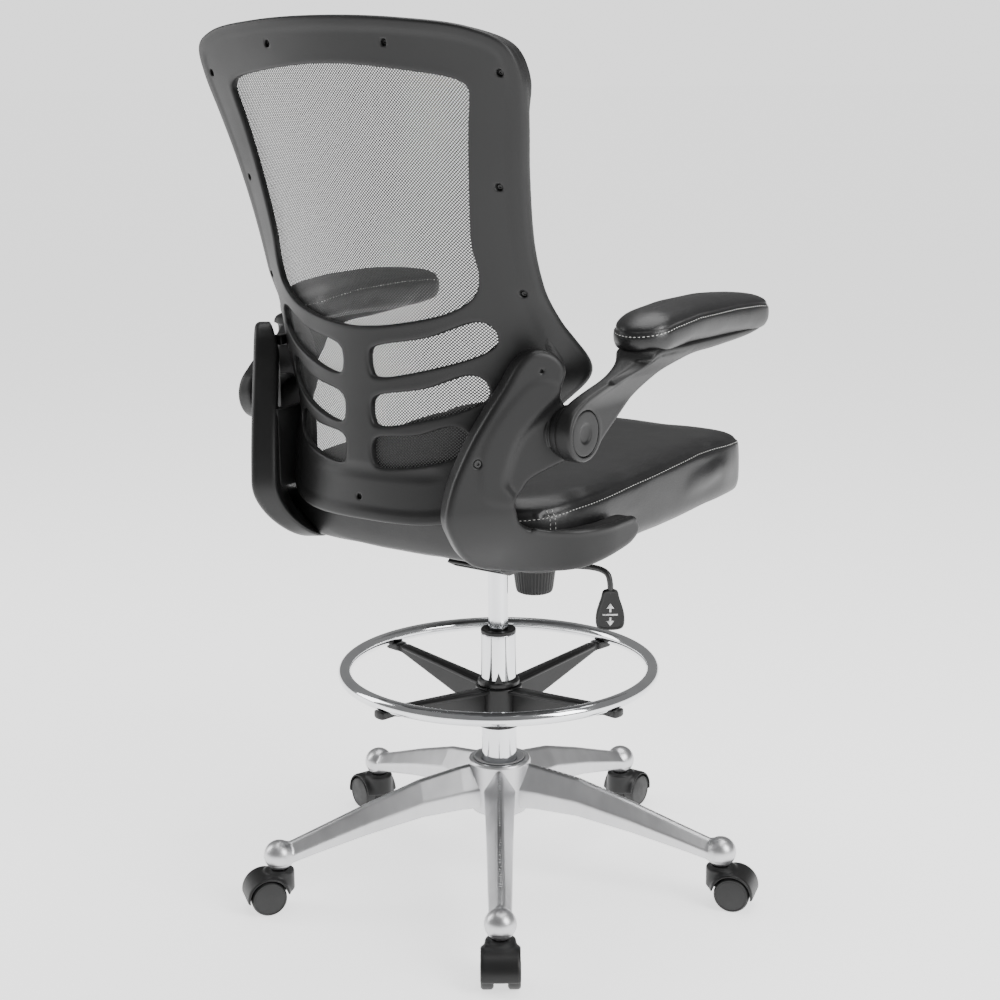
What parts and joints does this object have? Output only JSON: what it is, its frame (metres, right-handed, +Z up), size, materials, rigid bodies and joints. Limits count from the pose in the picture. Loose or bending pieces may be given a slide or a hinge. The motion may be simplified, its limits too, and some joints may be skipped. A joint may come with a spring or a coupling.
{
  "type": "drafting chair",
  "caption": "Tall mesh-back drafting chair with a padded seat, flip-up padded arms, a foot ring on the gas column and a star base on twin-wheel casters.",
  "frame": {"origin": "on the floor under the middle of the footprint, 13 mm in front of the gas column's axis", "axes": "+Z up; the sitter faces -Y; the sitter's right hand is at -X"},
  "size_m": [0.732, 0.729, 1.217],
  "materials": {
    "star_aluminium": "satin cast",
    "chrome": "polished",
    "steel": "zinc plated",
    "black_steel": "black powder coat",
    "black_plastic": "moulded satin",
    "shell_plastic": "fine moulded grain",
    "trim_grey": "moulded satin",
    "seat_vinyl": "grained vinyl, white stitching",
    "arm_vinyl": "grained vinyl, white stitching",
    "mesh_fabric": "open knitted mesh",
    "caster_tread": "matte"
  },
  "bodies": {
    "base": {"star_base": "star_aluminium", "hub_trim_ring": "trim_grey", "outer_column": "chrome", "column_guide_bush": "black_plastic", "thrust_bearing": "steel"},
    "rod": {"piston_rod": "steel", "rod_clip": "steel"},
    "lift": {"lift_tube": "chrome", "tilt_housing": "black_steel", "tilt_pivot_pin": "steel", "tension_bolt": "steel", "tension_spring": "steel"},
    "valve": {"release_button": "trim_grey"},
    "tension_slider": {"tension_washer": "steel"},
    "knob": {"tension_knob": "black_plastic"},
    "lever_sleeve": {"lever_bush": "black_plastic"},
    "lever": {"lever_rod": "black_steel", "lever_paddle": "black_plastic"},
    "seat": {"seat_plate": "black_steel", "seat_pan": "black_plastic", "seat_cushion": "seat_vinyl", "back_frame": "shell_plastic", "back_mesh": "mesh_fabric", "mesh_retainer": "black_plastic", "bracket_left": "black_plastic", "back_bolt_left": "steel", "arm_pivot_bolt_left": "steel", "bracket_right": "black_plastic", "back_bolt_right": "steel", "arm_pivot_bolt_right": "steel"},
    "ring": {"foot_ring": "chrome", "foot_ring_spider": "black_plastic"},
    "collar": {"ring_lock_collar": "black_plastic"},
    "arm_left": {"arm_left": "black_plastic", "arm_pad_left": "arm_vinyl", "arm_pivot_cap_left": "black_plastic"},
    "arm_right": {"arm_right": "black_plastic", "arm_pad_right": "arm_vinyl", "arm_pivot_cap_right": "black_plastic"},
    "caster_1": {"caster_1_housing": "black_plastic"},
    "wheels_1": {"caster_1_axle": "steel", "caster_1_wheel_left": "caster_tread", "caster_1_wheel_right": "caster_tread"},
    "caster_2": {"caster_2_housing": "black_plastic"},
    "wheels_2": {"caster_2_axle": "steel", "caster_2_wheel_left": "caster_tread", "caster_2_wheel_right": "caster_tread"},
    "caster_3": {"caster_3_housing": "black_plastic"},
    "wheels_3": {"caster_3_axle": "steel", "caster_3_wheel_left": "caster_tread", "caster_3_wheel_right": "caster_tread"},
    "caster_4": {"caster_4_housing": "black_plastic"},
    "wheels_4": {"caster_4_axle": "steel", "caster_4_wheel_left": "caster_tread", "caster_4_wheel_right": "caster_tread"},
    "caster_5": {"caster_5_housing": "black_plastic"},
    "wheels_5": {"caster_5_axle": "steel", "caster_5_wheel_left": "caster_tread", "caster_5_wheel_right": "caster_tread"}
  },
  "joints": [
    {"name": "rod_swivel", "type": "hinge", "parent": "base", "child": "rod", "pos_m": [0, 0.013, 0.1], "axis": [0, 0, 1], "continuous": true},
    {"name": "seat_height", "type": "slide", "parent": "rod", "child": "lift", "axis": [0, 0, 1], "range_m": [-0.068, 0.105]},
    {"name": "seat_tilt", "type": "hinge", "parent": "lift", "child": "seat", "pos_m": [0, -0.021, 0.507], "axis": [-1, 0, 0], "range_deg": [0, 8], "stiffness_Nm_per_rad": 90, "springref_deg": -28.65},
    {"name": "tension_travel", "type": "slide", "parent": "lift", "child": "tension_slider", "axis": [0, 0, 1], "range_m": [0, 0.01], "deforming": ["tension_spring"]},
    {"name": "knob_turn", "type": "hinge", "parent": "tension_slider", "child": "knob", "pos_m": [0, -0.077, 0.43], "axis": [0, 0, 1], "range_deg": [0, 2880]},
    {"name": "lever_pull", "type": "slide", "parent": "lift", "child": "lever_sleeve", "axis": [-1, 0, 0], "range_m": [0, 0.012]},
    {"name": "lever_lift", "type": "hinge", "parent": "lever_sleeve", "child": "lever", "pos_m": [-0.048, 0.057, 0.486], "axis": [0, 1, 0], "range_deg": [0, 3.5], "stiffness_Nm_per_rad": 1.5, "springref_deg": -14.32},
    {"name": "button_press", "type": "slide", "parent": "lift", "child": "valve", "axis": [0, 0, -1], "range_m": [0, 0.0021], "stiffness_N_per_m": 300, "springref_m": -0.004},
    {"name": "ring_height", "type": "slide", "parent": "base", "child": "ring", "axis": [0, 0, 1], "range_m": [-0.04, 0.05]},
    {"name": "collar_twist", "type": "hinge", "parent": "ring", "child": "collar", "pos_m": [0, 0.013, 0.3], "axis": [0, 0, 1], "range_deg": [0, 60]},
    {"name": "arm_left_flip", "type": "hinge", "parent": "seat", "child": "arm_left", "pos_m": [0.26, 0.203, 0.72], "axis": [-1, 0, 0], "range_deg": [0, 95]},
    {"name": "arm_right_flip", "type": "hinge", "parent": "seat", "child": "arm_right", "pos_m": [-0.26, 0.203, 0.72], "axis": [-1, 0, 0], "range_deg": [0, 95]},
    {"name": "caster_1_swivel", "type": "hinge", "parent": "base", "child": "caster_1", "pos_m": [0, -0.313, 0.06], "axis": [0, 0, 1], "continuous": true},
    {"name": "wheels_1_spin", "type": "hinge", "parent": "caster_1", "child": "wheels_1", "pos_m": [0, -0.333, 0.025], "axis": [1, 0, 0], "continuous": true},
    {"name": "caster_2_swivel", "type": "hinge", "parent": "base", "child": "caster_2", "pos_m": [0.31004, -0.08774, 0.06], "axis": [0, 0, 1], "continuous": true},
    {"name": "wheels_2_spin", "type": "hinge", "parent": "caster_2", "child": "wheels_2", "pos_m": [0.32907, -0.09392, 0.025], "axis": [0.309, 0.9511, 0], "continuous": true},
    {"name": "caster_3_swivel", "type": "hinge", "parent": "base", "child": "caster_3", "pos_m": [0.19162, 0.27674, 0.06], "axis": [0, 0, 1], "continuous": true},
    {"name": "wheels_3_spin", "type": "hinge", "parent": "caster_3", "child": "wheels_3", "pos_m": [0.20337, 0.29292, 0.025], "axis": [-0.809, 0.5878, 0], "continuous": true},
    {"name": "caster_4_swivel", "type": "hinge", "parent": "base", "child": "caster_4", "pos_m": [-0.19162, 0.27674, 0.06], "axis": [0, 0, 1], "continuous": true},
    {"name": "wheels_4_spin", "type": "hinge", "parent": "caster_4", "child": "wheels_4", "pos_m": [-0.20337, 0.29292, 0.025], "axis": [-0.809, -0.5878, 0], "continuous": true},
    {"name": "caster_5_swivel", "type": "hinge", "parent": "base", "child": "caster_5", "pos_m": [-0.31004, -0.08774, 0.06], "axis": [0, 0, 1], "continuous": true},
    {"name": "wheels_5_spin", "type": "hinge", "parent": "caster_5", "child": "wheels_5", "pos_m": [-0.32907, -0.09392, 0.025], "axis": [0.309, -0.9511, 0], "continuous": true}
  ],
  "couplings": [
    {"joint": "tension_travel", "follows": "knob_turn", "m_per_rad": 0.000198},
    {"joint": "button_press", "follows": "lever_lift", "m_per_rad": 0.0342}
  ]
}
